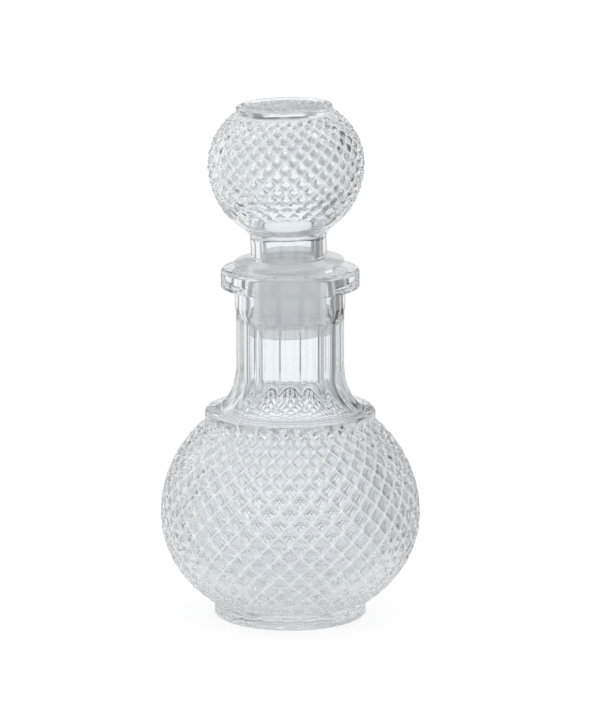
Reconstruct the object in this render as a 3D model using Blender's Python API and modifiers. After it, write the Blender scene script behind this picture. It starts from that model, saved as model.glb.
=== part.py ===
"""A small pressed-glass carafe: a fluted foot, a globe of diamond relief, a fluted neck with a ring lip,
and a stopper made of a hollow glass ball on a soft plastic plug.  Lengths in metres, +Z up, the origin
under the middle of the foot, the front at -Y."""

import bmesh
import bpy
from math import acos, asin, atan2, cos, hypot, pi, radians, sin

MM = 0.001

# The foot
FOOT_HEIGHT = 5.1 * MM             # up to where the globe sets off
FOOT_RADIUS = 26.6 * MM
FOOT_WAIST_RADIUS = 27.0 * MM      # of the globe where it sets off
FOOT_TOP_SINK = 0.8 * MM           # height of the small hollow between foot and globe
FOOT_REST_DRAW = 1.3 * MM          # the resting ring's outer edge is this much inside the foot
FOOT_REST_WIDTH = 3.2 * MM
FOOT_EDGE = 1.4 * MM
PUSH_UP = 1.8 * MM                 # rise of the hollow under the foot
PUSH_UP_SLOPE_WIDTH = 13.1 * MM    # from the resting ring to the flat middle of that hollow
FLOOR_THICKNESS = 4.8 * MM         # of the glass above that hollow
FLOOR_RADIUS = 12.0 * MM           # flat middle of the inside
FOOT_FLUTES = 24
FOOT_FLUTE_DEPTH = 0.5 * MM

# The globe
BODY_RADIUS = 45.3 * MM            # over the points of the diamonds
BODY_DROP = 38.5 * MM              # half-height of the lower curve, before the foot cuts it
BODY_RISE = 43.6 * MM              # half-height of the upper curve, before the shoulder cuts it
BODY_WALL = 3.4 * MM
DIAMONDS_AROUND = 38
DIAMOND_HALF_ROWS = 21
DIAMOND_DEPTH = 0.8 * MM
CELL_GROWTH_SHARE = 0.4            # 0: rows of equal height, 1: cells that keep their shape

# The shoulder, from the end of the globe upwards
SHOULDER_RADIUS = 29.7 * MM
TOP_ROW_RISE = 1.4 * MM            # the topmost diamonds have their points on the upright shoulder
CUT_ROW_RISE = 1.5 * MM            # and are cut off here
SHOULDER_RISE = 2.0 * MM
SHOULDER_EDGE = 1.6 * MM           # height of the soft rounding into the neck
SHOULDER_EDGE_WIDTH = 2.2 * MM
INNER_COVE_DRAW = 7.2 * MM         # the inside turns into the neck this far outside the bore

# The neck
NECK_LENGTH = 49.1 * MM            # from the top of the shoulder to the mouth
NECK_RADIUS = 18.75 * MM           # over the ribs between the flutes
NECK_WALL = 2.95 * MM
NECK_COVE_HEIGHT = 15.5 * MM
NECK_FLUTES = 14
NECK_FLUTE_DEPTH = 0.85 * MM
NECK_ARCH_HEIGHT = 4.2 * MM        # height over which each flute closes in a round arch
NECK_ARCH_GAP = 2.2 * MM           # plain glass from there to the throat
NECK_FADE_HEIGHT = 12.0 * MM       # lowest part of the flutes, over which they fade out
THROAT_SWELL = 0.55 * MM           # the plain ring of glass between flutes and lip stands out this much
THROAT_LENGTH = 6.7 * MM
LIP_OVERHANG = 4.8 * MM
LIP_HEIGHT = 6.6 * MM
LIP_EDGE = 1.3 * MM
LIP_UNDER_EDGE = 0.6 * MM
MOUTH_EDGE = 0.7 * MM

# The stopper: how it sits, and the plastic plug
STOPPER_LEAN = radians(1.7)        # the soft plug sits a little askew in the mouth, top towards -X
SEAT_DEPTH = 10.9 * MM             # depth below the mouth of the point that it leans about
FLANGE_LIFT = 1.0 * MM             # the flange stands clear of the mouth
FLANGE_THICKNESS = 2.2 * MM
FLANGE_OVERHANG = 3.3 * MM         # the flange reaches this far over the bore's edge
FLANGE_EDGE = 1.0 * MM
SPIGOT_HEIGHT = 3.4 * MM           # the spigot stands inside the open neck of the ball
SPIGOT_EDGE = 0.9 * MM
SPIGOT_WALL = 1.8 * MM
PLUG_DEPTH = 22.6 * MM             # the plug reaches this far below the mouth
PLUG_FIN_DEPTH = 14.4 * MM         # top of the upper fin, below the mouth
PLUG_FIN_STEP = 3.0 * MM
PLUG_FIN_GAP = 0.6 * MM            # between a fin and the bore
PLUG_FIN_HEIGHT = 1.3 * MM
PLUG_TUBE_GAP = 3.2 * MM           # between the plug's tube and the bore
PLUG_SKIRT_GAP = 1.5 * MM          # the same between and below the fins
PLUG_TIP_DRAW = 0.4 * MM           # the skirt narrows by this much at its lower edge
PLUG_WALL = 2.0 * MM

# The stopper: the glass ball
BALL_RADIUS = 27.2 * MM
BALL_RISE = 23.8 * MM              # half-height of the upper curve, before the crown cuts it
BALL_WALL = 3.2 * MM
BALL_DIAMONDS_AROUND = 30
BALL_HALF_ROWS = 16
BALL_DIAMOND_DEPTH = 1.1 * MM
BALL_FADE_ROWS = 4                 # the relief rises out of the plain bell over so many rows
BALL_SEAT_GAP = 0.3 * MM           # between the ball's neck and the flange
BALL_NECK_RADIUS = 13.2 * MM
BALL_NECK_WALL = 3.7 * MM
BALL_NECK_LENGTH = 6.4 * MM
BALL_NECK_EDGE = 0.5 * MM
BALL_NECK_FILLET = 5.0 * MM        # it meets the ball's round side without an edge
BALL_BELL_DRAW = 6.2 * MM          # the diamonds stop above the plain bell, this much inside the ball's side
BALL_ROOF_DRAW = 16.0 * MM         # from the ball's inner side to the flat roof under the crown
CROWN_DRAW = 10.4 * MM             # the crown's edge is this much inside the ball's side
CROWN_BAND_HEIGHT = 1.9 * MM       # plain upright band above the diamonds
CROWN_EDGE = 1.1 * MM
CROWN_RIM_WIDTH = 2.5 * MM         # from the crown's edge to its dish
CROWN_DISH_SLOPE = 0.8 * MM        # width of the slope at the dish's edge
CROWN_DISH_DEPTH = 0.7 * MM
CROWN_THICKNESS = 3.6 * MM

# How finely round shapes are divided
INNER_SIDES = 40
FOOT_SIDES_PER_FLUTE = 4
NECK_SIDES_PER_FLUTE = 6
LIP_SIDES = 84
BALL_INNER_SIDES = 36
PLUG_SIDES = 48
CURVE_STEPS = 7
ROUND_STEPS = 3
EDGE_STEPS = 2
WALK_STEPS = 400
CREASE_ANGLE = radians(20.0)
MERGE_DISTANCE = 0.01 * MM

# Glass and plastic
GLASS_COLOR = (0.86, 0.90, 0.92, 1.0)
PLASTIC_COLOR = (0.74, 0.77, 0.78, 1.0)
GLASS_ALPHA = 0.35
GLASS_IOR = 1.5
GLASS_ROUGHNESS = 0.02
PLASTIC_ROUGHNESS = 0.35

# Heights and radii that follow from the sizes above, each on the one before it
REST_RADIUS = FOOT_RADIUS - FOOT_REST_DRAW
BODY_MIDDLE = FOOT_HEIGHT + BODY_DROP * sin(acos(FOOT_WAIST_RADIUS / BODY_RADIUS))
GLOBE_TOP = BODY_MIDDLE + BODY_RISE * sin(acos(SHOULDER_RADIUS / BODY_RADIUS))
TOP_ROW_HEIGHT = GLOBE_TOP + TOP_ROW_RISE
CUT_ROW_TOP = TOP_ROW_HEIGHT + CUT_ROW_RISE
SHOULDER_TOP = CUT_ROW_TOP + SHOULDER_RISE
BORE_RADIUS = NECK_RADIUS - NECK_WALL
MOUTH_HEIGHT = SHOULDER_TOP + NECK_LENGTH
LIP_BOTTOM = MOUTH_HEIGHT - LIP_HEIGHT
THROAT_BOTTOM = LIP_BOTTOM - THROAT_LENGTH
FLANGE_BOTTOM = MOUTH_HEIGHT + FLANGE_LIFT
FLANGE_TOP = FLANGE_BOTTOM + FLANGE_THICKNESS
BALL_NECK_BOTTOM = FLANGE_TOP + BALL_SEAT_GAP
BALL_NECK_TOP = BALL_NECK_BOTTOM + BALL_NECK_LENGTH
BALL_BELL_RADIUS = BALL_RADIUS - BALL_BELL_DRAW
CROWN_RADIUS = BALL_RADIUS - CROWN_DRAW
FILLET_TURN = acos((BALL_NECK_RADIUS + BALL_NECK_FILLET) / (BALL_RADIUS + BALL_NECK_FILLET))
BALL_MIDDLE = BALL_NECK_TOP + (BALL_RADIUS + BALL_NECK_FILLET) * sin(FILLET_TURN)
CROWN_TOP = BALL_MIDDLE + BALL_RISE * sin(acos(CROWN_RADIUS / BALL_RADIUS)) + CROWN_BAND_HEIGHT
SPIGOT_RADIUS = BALL_NECK_RADIUS - BALL_NECK_WALL - BALL_SEAT_GAP


def arc(middle_radius, middle_height, width, rise, start, end, steps):
    """Points (radius, height) along a piece of an ellipse, from one angle to another."""
    points = []
    for step in range(steps + 1):
        angle = start + (end - start) * step / steps
        points.append((middle_radius + width * cos(angle), middle_height + rise * sin(angle)))
    return points


def globe_outline(radius, middle, drop, rise, start_radius, end_radius, steps):
    """The side of a globe whose upper and lower halves are ellipses of their own, bottom to top."""
    start = -acos(start_radius / radius)
    end = acos(end_radius / radius)
    lower = arc(0, middle, radius, drop, start, 0, steps)
    upper = arc(0, middle, radius, rise, 0, end, steps)
    return lower + upper[1:]


def cell_rows(outline, count):
    """Points of an outline for the rows of the relief, with their outward normals.  The rows are lower
    where the circle that they lie on is smaller, so that the cells shrink in height as in width."""
    reached = [0.0]
    for (r0, z0), (r1, z1) in zip(outline, outline[1:]):
        reached.append(reached[-1] + hypot(r1 - r0, z1 - z0) / ((r0 + r1) / 2) ** CELL_GROWTH_SHARE)
    found = []
    for row in range(count + 1):
        target = row / count * reached[-1]
        k = 0
        while k < len(outline) - 2 and reached[k + 1] < target:
            k += 1
        share = (target - reached[k]) / (reached[k + 1] - reached[k])
        (r0, z0), (r1, z1) = outline[k], outline[k + 1]
        length = hypot(r1 - r0, z1 - z0)
        normal = ((z1 - z0) / length, (r0 - r1) / length)
        found.append((r0 + share * (r1 - r0), z0 + share * (z1 - z0), normal))
    return found


def with_normals(points):
    """Adds to each point of an outline its outward normal, for an outline that runs upwards outside."""
    result = []
    for k, (r, z) in enumerate(points):
        before = points[max(k - 1, 0)]
        after = points[min(k + 1, len(points) - 1)]
        dr = after[0] - before[0]
        dz = after[1] - before[1]
        length = hypot(dr, dz)
        result.append((r, z, (dz / length, -dr / length)))
    return result


def sunk(point, depth):
    """An outline point moved into the glass."""
    r, z, normal = point
    return r - depth * normal[0], z - depth * normal[1]


def flute_cut(side, sides_per_flute, depth, lift):
    """How deep a hollow flute is at one of its sides; lift narrows the flute in a round arch."""
    across = 2 * (side % sides_per_flute) / sides_per_flute - 1
    return max(0.0, depth * (1 - across * across) - lift)


def add_ring(mesh, points):
    """A closed ring of vertices, one for each (radius, height), starting at the front."""
    ring = []
    for side, (radius, height) in enumerate(points):
        angle = 2 * pi * side / len(points)
        ring.append(mesh.verts.new((radius * sin(angle), -radius * cos(angle), height)))
    return ring


def turned_rings(mesh, outline, sides):
    """Spins an outline about the axis.  Gives back a ring of vertices for each of its points."""
    earlier = set(mesh.verts)
    corners = [mesh.verts.new((0, -radius, height)) for radius, height in outline]
    edges = [mesh.edges.new(pair) for pair in zip(corners, corners[1:])]
    bmesh.ops.spin(mesh, geom=corners + edges, axis=(0, 0, 1), cent=(0, 0, 0), angle=2 * pi,
                   steps=sides, use_merge=True)
    rings = [[None] * sides for _ in outline]
    for vertex in mesh.verts:
        if vertex in earlier:
            continue
        radius = hypot(vertex.co.x, vertex.co.y)
        side = round(atan2(vertex.co.x, -vertex.co.y) / (2 * pi) * sides) % sides
        for ring, point in zip(rings, outline):
            if hypot(radius - point[0], vertex.co.z - point[1]) < MERGE_DISTANCE:
                ring[side] = vertex
        for face in vertex.link_faces:
            face.smooth = True
    return rings


def zip_rings(mesh, lower, upper):
    """Lofts from one ring to the next.  Rings with unlike numbers of sides get a strip of triangles."""
    n = len(lower)
    m = len(upper)
    a = 0
    b = 0
    while a < n or b < m:
        if (a + 1) * m == (b + 1) * n:
            corners = (lower[a], lower[(a + 1) % n], upper[(b + 1) % m], upper[b % m])
            a += 1
            b += 1
        elif (a + 1) * m < (b + 1) * n:
            corners = (lower[a], lower[(a + 1) % n], upper[b % m])
            a += 1
        else:
            corners = (lower[a % n], upper[(b + 1) % m], upper[b % m])
            b += 1
        mesh.faces.new(corners).smooth = True


def join_chain(mesh, rings):
    """Zips each ring of a list to the next one."""
    for lower, upper in zip(rings, rings[1:]):
        zip_rings(mesh, lower, upper)


def diamond_rings(mesh, outline, around, half_rows, depth, turned, runs_on, fade_rows):
    """The diamond relief.  Points and crossings alternate like the squares of a chessboard, and each
    square is split along the groove between its two crossings, which gives every diamond its four
    facets.  Such a skin can't be turned or moulded from a plain shape, so its faces are laid here.
    turned shifts the pattern by half a cell; runs_on leaves the points standing in the last row; over
    the first fade_rows rows the relief rises out of a plain surface."""
    sides = 2 * around
    rows = cell_rows(outline, half_rows)
    rings = []
    for row in range(half_rows + 1):
        is_end = row == 0 or (row == half_rows and not runs_on)
        sink = depth * min(1, row / fade_rows) if fade_rows else depth
        points = []
        for side in range(sides):
            is_point = (side + half_rows - row + turned) % 2 == 0 and not is_end
            points.append(sunk(rows[row], 0 if is_point else sink))
        rings.append(add_ring(mesh, points))
    for row in range(half_rows):
        for side in range(sides):
            after = (side + 1) % sides
            a, b = rings[row][side], rings[row][after]
            c, d = rings[row + 1][after], rings[row + 1][side]
            if (side + half_rows - row + turned) % 2 == 0:
                corners = ((a, b, d), (b, c, d))
            else:
                corners = ((a, b, c), (a, c, d))
            for three in corners:
                mesh.faces.new(three).smooth = False
    return rings[0], rings[-1]


def finish_piece(name, mesh, material, collection):
    """Turns the laid skin into an object: normals outward, real edges sharp."""
    bmesh.ops.recalc_face_normals(mesh, faces=mesh.faces)
    data = bpy.data.meshes.new(name)
    mesh.to_mesh(data)
    mesh.free()
    data.materials.append(material)
    data.set_sharp_from_angle(angle=CREASE_ANGLE)
    piece = bpy.data.objects.new(name, data)
    collection.objects.link(piece)
    return piece


def foot_rings(mesh):
    """The foot: its flat resting ring, its fluted side and the small hollow under the globe."""
    sides = FOOT_FLUTES * FOOT_SIDES_PER_FLUTE
    side_top = FOOT_HEIGHT - FOOT_TOP_SINK
    rings = turned_rings(mesh, [(REST_RADIUS - FOOT_REST_WIDTH, 0), (REST_RADIUS, 0)], sides)
    fluted = [rings[-1]]
    side_points = with_normals(arc(REST_RADIUS, FOOT_EDGE, FOOT_REST_DRAW, FOOT_EDGE, -pi / 2, 0,
                                   ROUND_STEPS)[1:]
                               + [(FOOT_RADIUS, (FOOT_EDGE + side_top) / 2), (FOOT_RADIUS, side_top)])
    lifts = [FOOT_FLUTE_DEPTH * (ROUND_STEPS - k) / ROUND_STEPS for k in range(ROUND_STEPS)]
    lifts += [0, FOOT_FLUTE_DEPTH / 2]
    for point, lift in zip(side_points, lifts):
        points = []
        for side in range(sides):
            cut = flute_cut(side + FOOT_SIDES_PER_FLUTE // 2, FOOT_SIDES_PER_FLUTE, FOOT_FLUTE_DEPTH, lift)
            points.append(sunk(point, cut))
        fluted.append(add_ring(mesh, points))
    hollow = (FOOT_WAIST_RADIUS - DIAMOND_DEPTH, FOOT_HEIGHT - FOOT_TOP_SINK / 2)
    fluted.append(add_ring(mesh, [hollow] * sides))
    join_chain(mesh, fluted)
    return rings[0], fluted[-1]


def neck_rings(mesh):
    """The outside of the neck, from the edge of the shoulder up the flutes to the plain throat."""
    sides = NECK_FLUTES * NECK_SIDES_PER_FLUTE
    cove_radius = SHOULDER_RADIUS - SHOULDER_EDGE_WIDTH
    cove_middle = SHOULDER_TOP + NECK_COVE_HEIGHT
    cove = arc(cove_radius, cove_middle, NECK_RADIUS - cove_radius, -NECK_COVE_HEIGHT, pi / 2, 0,
               CURVE_STEPS)
    arch_start = THROAT_BOTTOM - NECK_ARCH_GAP - NECK_ARCH_HEIGHT
    shaft = [(NECK_RADIUS, arch_start + NECK_ARCH_HEIGHT * step / ROUND_STEPS)
             for step in range(ROUND_STEPS + 1)]
    outline = with_normals(cove + shaft)
    rings = []
    for point in outline:
        depth = NECK_FLUTE_DEPTH * min(1.0, (point[1] - SHOULDER_TOP) / NECK_FADE_HEIGHT)
        arch = max(0.0, (point[1] - arch_start) / NECK_ARCH_HEIGHT)
        lift = NECK_FLUTE_DEPTH * arch * arch
        points = []
        for side in range(sides):
            cut = flute_cut(side + NECK_SIDES_PER_FLUTE // 2, NECK_SIDES_PER_FLUTE, depth, lift)
            points.append(sunk(point, cut))
        rings.append(add_ring(mesh, points))
    join_chain(mesh, rings)
    return rings[0], rings[-1]


def build_bottle(collection, material):
    """The bottle, one skin: outside from the foot to the mouth, then down the inside to the floor, and
    the hollow under the foot."""
    mesh = bmesh.new()
    rest_edge, foot_top = foot_rings(mesh)
    outline = globe_outline(BODY_RADIUS, BODY_MIDDLE, BODY_DROP, BODY_RISE, FOOT_WAIST_RADIUS,
                            SHOULDER_RADIUS, WALK_STEPS)
    outline.append((SHOULDER_RADIUS, TOP_ROW_HEIGHT))
    globe_first, globe_last = diamond_rings(mesh, outline, DIAMONDS_AROUND, DIAMOND_HALF_ROWS,
                                            DIAMOND_DEPTH, 0, True, 0)
    cut_points = [(SHOULDER_RADIUS - DIAMOND_DEPTH * (side % 2), CUT_ROW_TOP)
                  for side in range(2 * DIAMONDS_AROUND)]
    cut_row = add_ring(mesh, cut_points)
    band = arc(SHOULDER_RADIUS - SHOULDER_EDGE_WIDTH, SHOULDER_TOP - SHOULDER_EDGE, SHOULDER_EDGE_WIDTH,
               SHOULDER_EDGE, 0, pi / 2, ROUND_STEPS)[:-1]
    shoulder = turned_rings(mesh, band, 2 * DIAMONDS_AROUND)
    neck_first, neck_last = neck_rings(mesh)
    zip_rings(mesh, foot_top, globe_first)
    join_chain(mesh, [globe_last, cut_row, shoulder[0]])
    zip_rings(mesh, shoulder[-1], neck_first)

    throat_radius = NECK_RADIUS + THROAT_SWELL
    lip_radius = throat_radius + LIP_OVERHANG
    lip = [(throat_radius, THROAT_BOTTOM), (throat_radius, LIP_BOTTOM)]
    lip += arc(lip_radius - LIP_UNDER_EDGE, LIP_BOTTOM + LIP_UNDER_EDGE, LIP_UNDER_EDGE, LIP_UNDER_EDGE,
               -pi / 2, 0, EDGE_STEPS)
    lip += arc(lip_radius - LIP_EDGE, MOUTH_HEIGHT - LIP_EDGE, LIP_EDGE, LIP_EDGE, 0, pi / 2, ROUND_STEPS)
    lip += arc(BORE_RADIUS + MOUTH_EDGE, MOUTH_HEIGHT - MOUTH_EDGE, MOUTH_EDGE, MOUTH_EDGE,
               pi / 2, pi, EDGE_STEPS)
    lip_rings = turned_rings(mesh, lip, LIP_SIDES)
    zip_rings(mesh, neck_last, lip_rings[0])

    inner_radius = BODY_RADIUS - BODY_WALL
    inner_rise = BODY_RISE - BODY_WALL / 2
    shoulder_angle = acos((BORE_RADIUS + INNER_COVE_DRAW) / inner_radius)
    cove_turn = atan2(inner_radius * sin(shoulder_angle), inner_rise * cos(shoulder_angle))
    cove_radius = INNER_COVE_DRAW / (1 - cos(cove_turn))
    cove_top = BODY_MIDDLE + inner_rise * sin(shoulder_angle) + cove_radius * sin(cove_turn)
    inner = arc(BORE_RADIUS + cove_radius, cove_top, cove_radius, cove_radius, pi, pi + cove_turn,
                CURVE_STEPS)[:-1]
    floor_height = PUSH_UP + FLOOR_THICKNESS
    inner += arc(0, BODY_MIDDLE, inner_radius, inner_rise, shoulder_angle, 0, CURVE_STEPS)
    inner += arc(FLOOR_RADIUS, BODY_MIDDLE, inner_radius - FLOOR_RADIUS, BODY_MIDDLE - floor_height,
                 0, -pi / 2, CURVE_STEPS)[1:]
    inner_rings = turned_rings(mesh, inner, INNER_SIDES)
    zip_rings(mesh, lip_rings[-1], inner_rings[0])
    mesh.faces.new(inner_rings[-1])

    middle_radius = REST_RADIUS - FOOT_REST_WIDTH - PUSH_UP_SLOPE_WIDTH
    hollow = arc(middle_radius, 0, PUSH_UP_SLOPE_WIDTH, PUSH_UP, 0, pi / 2, ROUND_STEPS)[1:]
    hollow_rings = turned_rings(mesh, hollow, INNER_SIDES)
    zip_rings(mesh, rest_edge, hollow_rings[0])
    mesh.faces.new(hollow_rings[-1])
    return finish_piece("bottle", mesh, material, collection)


def build_ball(collection, material):
    """The hollow ball, one skin: outside from its open neck to the crown, then its inside."""
    mesh = bmesh.new()
    sides = 2 * BALL_DIAMONDS_AROUND
    neck_bore = BALL_NECK_RADIUS - BALL_NECK_WALL
    outline = globe_outline(BALL_RADIUS, BALL_MIDDLE, BALL_RADIUS, BALL_RISE, BALL_BELL_RADIUS,
                            CROWN_RADIUS, WALK_STEPS)
    lower = arc(BALL_NECK_RADIUS - BALL_NECK_EDGE, BALL_NECK_BOTTOM + BALL_NECK_EDGE, BALL_NECK_EDGE,
                BALL_NECK_EDGE, -pi / 2, 0, EDGE_STEPS)
    lower += arc(BALL_NECK_RADIUS + BALL_NECK_FILLET, BALL_NECK_TOP, BALL_NECK_FILLET, BALL_NECK_FILLET,
                 pi, pi - FILLET_TURN, ROUND_STEPS)
    bell_top = acos(BALL_BELL_RADIUS / BALL_RADIUS)
    lower += arc(0, BALL_MIDDLE, BALL_RADIUS, BALL_RADIUS, -FILLET_TURN, -bell_top, ROUND_STEPS)[1:-1]
    lower_rings = turned_rings(mesh, lower, sides)
    first, last = diamond_rings(mesh, outline, BALL_DIAMONDS_AROUND, BALL_HALF_ROWS,
                                BALL_DIAMOND_DEPTH, 1, False, BALL_FADE_ROWS)
    crown = arc(CROWN_RADIUS - CROWN_EDGE, CROWN_TOP - CROWN_EDGE, CROWN_EDGE, CROWN_EDGE,
                0, pi / 2, ROUND_STEPS)
    dish_radius = CROWN_RADIUS - CROWN_RIM_WIDTH
    crown += [(dish_radius + CROWN_DISH_SLOPE, CROWN_TOP), (dish_radius, CROWN_TOP - CROWN_DISH_DEPTH)]
    crown_rings = turned_rings(mesh, crown, sides)
    zip_rings(mesh, lower_rings[-1], first)
    zip_rings(mesh, last, crown_rings[0])
    mesh.faces.new(crown_rings[-1])

    inner_radius = BALL_RADIUS - BALL_WALL
    inner_rise = CROWN_TOP - CROWN_THICKNESS - BALL_MIDDLE
    opening = asin(neck_bore / inner_radius)
    inner = [(neck_bore, BALL_NECK_BOTTOM), (neck_bore, BALL_NECK_TOP)]
    inner += arc(0, BALL_MIDDLE, inner_radius, inner_radius, opening - pi / 2, 0, CURVE_STEPS)
    inner += arc(inner_radius - BALL_ROOF_DRAW, BALL_MIDDLE, BALL_ROOF_DRAW, inner_rise,
                 0, pi / 2, CURVE_STEPS)[1:]
    inner_rings = turned_rings(mesh, inner, BALL_INNER_SIDES)
    zip_rings(mesh, lower_rings[0], inner_rings[0])
    mesh.faces.new(inner_rings[-1])
    return finish_piece("stopper_ball", mesh, material, collection)


def build_collar(collection, material):
    """The plug, its flange and the spigot inside the ball's neck, turned from one profile."""
    fin = BORE_RADIUS - PLUG_FIN_GAP
    skirt = BORE_RADIUS - PLUG_SKIRT_GAP
    tube = BORE_RADIUS - PLUG_TUBE_GAP
    flange = BORE_RADIUS + FLANGE_OVERHANG
    spigot_top = FLANGE_TOP + SPIGOT_HEIGHT
    upper_fin = MOUTH_HEIGHT - PLUG_FIN_DEPTH
    bottom = MOUTH_HEIGHT - PLUG_DEPTH
    fin_root = PLUG_FIN_HEIGHT / 2
    outline = [(0, spigot_top)]
    outline += arc(SPIGOT_RADIUS - SPIGOT_EDGE, spigot_top - SPIGOT_EDGE, SPIGOT_EDGE, SPIGOT_EDGE,
                   pi / 2, 0, ROUND_STEPS)
    outline += [(SPIGOT_RADIUS, FLANGE_TOP)]
    outline += arc(flange - FLANGE_EDGE, FLANGE_TOP - FLANGE_EDGE, FLANGE_EDGE, FLANGE_EDGE,
                   pi / 2, 0, ROUND_STEPS)
    outline += arc(flange - FLANGE_EDGE, FLANGE_BOTTOM + FLANGE_EDGE, FLANGE_EDGE, FLANGE_EDGE,
                   0, -pi / 2, ROUND_STEPS)
    outline += [(tube, FLANGE_BOTTOM), (tube, upper_fin + fin_root)]
    for top in (upper_fin, upper_fin - PLUG_FIN_STEP):
        outline += [(fin, top), (fin, top - fin_root), (skirt, top - PLUG_FIN_HEIGHT)]
    outline += [(skirt, bottom + fin_root), (skirt - PLUG_TIP_DRAW, bottom)]
    inner = tube - PLUG_WALL
    cap = SPIGOT_RADIUS - SPIGOT_WALL
    outline += [(inner, bottom), (inner, FLANGE_BOTTOM - PLUG_WALL), (cap, FLANGE_BOTTOM),
                (cap, spigot_top - SPIGOT_WALL), (0, spigot_top - SPIGOT_WALL)]
    data = bpy.data.meshes.new("stopper_collar")
    edges = [(k, k + 1) for k in range(len(outline) - 1)]
    data.from_pydata([(r, 0, z) for r, z in outline], edges, [])
    data.materials.append(material)
    piece = bpy.data.objects.new("stopper_collar", data)
    collection.objects.link(piece)
    turn = piece.modifiers.new("turn", "SCREW")
    turn.axis = "Z"
    turn.steps = PLUG_SIDES
    turn.render_steps = PLUG_SIDES
    turn.use_merge_vertices = True
    turn.merge_threshold = MERGE_DISTANCE
    turn.use_smooth_shade = False
    turn.use_normal_calculate = True
    return piece


def make_material(name, color, roughness, alpha, transmission, ior):
    """A plain material of its own for one piece."""
    material = bpy.data.materials.new(name)
    material.use_nodes = True
    shader = material.node_tree.nodes["Principled BSDF"]
    shader.inputs["Base Color"].default_value = color
    shader.inputs["Roughness"].default_value = roughness
    shader.inputs["Alpha"].default_value = alpha
    shader.inputs["Transmission Weight"].default_value = transmission
    shader.inputs["IOR"].default_value = ior
    return material


def main():
    """Builds the pieces and hangs the two of the stopper on its leaning seat."""
    for existing in list(bpy.data.objects):
        bpy.data.objects.remove(existing, do_unlink=True)
    collection = bpy.data.collections.new("glass_carafe")
    bpy.context.scene.collection.children.link(collection)
    glass = make_material("clear_glass", GLASS_COLOR, GLASS_ROUGHNESS, GLASS_ALPHA, 1.0, GLASS_IOR)
    ball_glass = make_material("clear_glass_ball", GLASS_COLOR, GLASS_ROUGHNESS, GLASS_ALPHA, 1.0, GLASS_IOR)
    plastic = make_material("milky_polyethylene", PLASTIC_COLOR, PLASTIC_ROUGHNESS, 1.0, 0.0, GLASS_IOR)

    build_bottle(collection, glass)
    ball = build_ball(collection, ball_glass)
    collar = build_collar(collection, plastic)

    seat = bpy.data.objects.new("stopper_seat", None)
    seat_height = MOUTH_HEIGHT - SEAT_DEPTH
    seat.location = (0, 0, seat_height)
    seat.rotation_euler = (0, -STOPPER_LEAN, 0)
    collection.objects.link(seat)
    for piece in (ball, collar):
        piece.parent = seat
        piece.location = (0, 0, -seat_height)


main()
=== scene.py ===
"""The looks of a small pressed-glass carafe with a ball stopper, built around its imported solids.

The file is laid out as a Blender add-on and is run as a script.  Each operator makes one piece, or the
stage that it stands on.  Lengths are in metres, +Z is up, and the front of the carafe faces -Y."""

from math import acos, asin, atan2, cos, hypot, pi, radians, sin

import bmesh
import bpy
from bpy.props import FloatProperty, FloatVectorProperty, IntProperty, PointerProperty
from mathutils import Matrix, Vector


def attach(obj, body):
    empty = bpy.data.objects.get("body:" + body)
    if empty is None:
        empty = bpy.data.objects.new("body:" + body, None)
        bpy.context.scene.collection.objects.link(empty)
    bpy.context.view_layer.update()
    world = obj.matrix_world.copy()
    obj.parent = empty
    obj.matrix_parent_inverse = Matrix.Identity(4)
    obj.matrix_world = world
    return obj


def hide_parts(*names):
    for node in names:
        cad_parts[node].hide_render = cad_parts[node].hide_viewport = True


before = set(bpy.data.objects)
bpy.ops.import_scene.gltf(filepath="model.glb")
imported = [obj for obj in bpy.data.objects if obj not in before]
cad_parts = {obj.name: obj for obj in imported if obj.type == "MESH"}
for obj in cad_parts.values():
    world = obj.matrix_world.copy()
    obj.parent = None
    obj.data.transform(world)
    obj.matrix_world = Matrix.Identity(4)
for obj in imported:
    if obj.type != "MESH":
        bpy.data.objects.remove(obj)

bl_info = {
    "name": "Glass Carafe",
    "version": (1, 0, 0),
    "blender": (4, 5, 0),
    "location": "3D View > Sidebar > Carafe",
    "description": "Builds a pressed-glass carafe, its plastic plug and its glass ball",
    "category": "Add Mesh",
}

MM = 0.001
IMAGE_HEIGHT = 705
SENSOR_WIDTH = 36.0

# Foot and globe of the bottle
FOOT_HEIGHT = 5.1 * MM
FOOT_RADIUS = 26.6 * MM
FOOT_WAIST_RADIUS = 27.0 * MM
FOOT_TOP_SINK = 0.8 * MM
FOOT_HOLLOW_SHARES = (0.75, 0.45)    # of that height, from the flutes up to the globe
FOOT_REST_DRAW = 1.3 * MM
FOOT_REST_WIDTH = 3.2 * MM
FOOT_EDGE = 1.4 * MM
PUSH_UP = 1.8 * MM
PUSH_UP_SLOPE_WIDTH = 13.1 * MM
FLOOR_THICKNESS = 4.8 * MM
FLOOR_RADIUS = 12.0 * MM
FLOOR_CENTRE = 2.0 * MM            # within it the floor goes over to triangles
BODY_DROP = 38.5 * MM
BODY_RISE = 43.6 * MM
CELL_GROWTH_SHARE = 0.4

# Shoulder, neck and lip
SHOULDER_RADIUS = 29.7 * MM
TOP_ROW_RISE = 1.4 * MM
CUT_ROW_RISE = 1.5 * MM
SHOULDER_RISE = 2.0 * MM
SHOULDER_EDGE = 1.6 * MM
SHOULDER_EDGE_WIDTH = 2.2 * MM
INNER_SHOULDER_DRAW = 6.7 * MM
NECK_LENGTH = 49.1 * MM
NECK_WALL = 2.95 * MM
NECK_COVE_HEIGHT = 15.5 * MM
NECK_ARCH_HEIGHT = 4.2 * MM
NECK_ARCH_GAP = 2.2 * MM
NECK_FADE_HEIGHT = 12.0 * MM
THROAT_SWELL = 0.55 * MM
THROAT_LENGTH = 6.7 * MM
THROAT_FILLET = 0.9 * MM
LIP_OVERHANG = 4.8 * MM
LIP_HEIGHT = 6.6 * MM
LIP_EDGE = 1.3 * MM
LIP_UNDER_EDGE = 0.6 * MM
MOUTH_EDGE = 0.7 * MM

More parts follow.
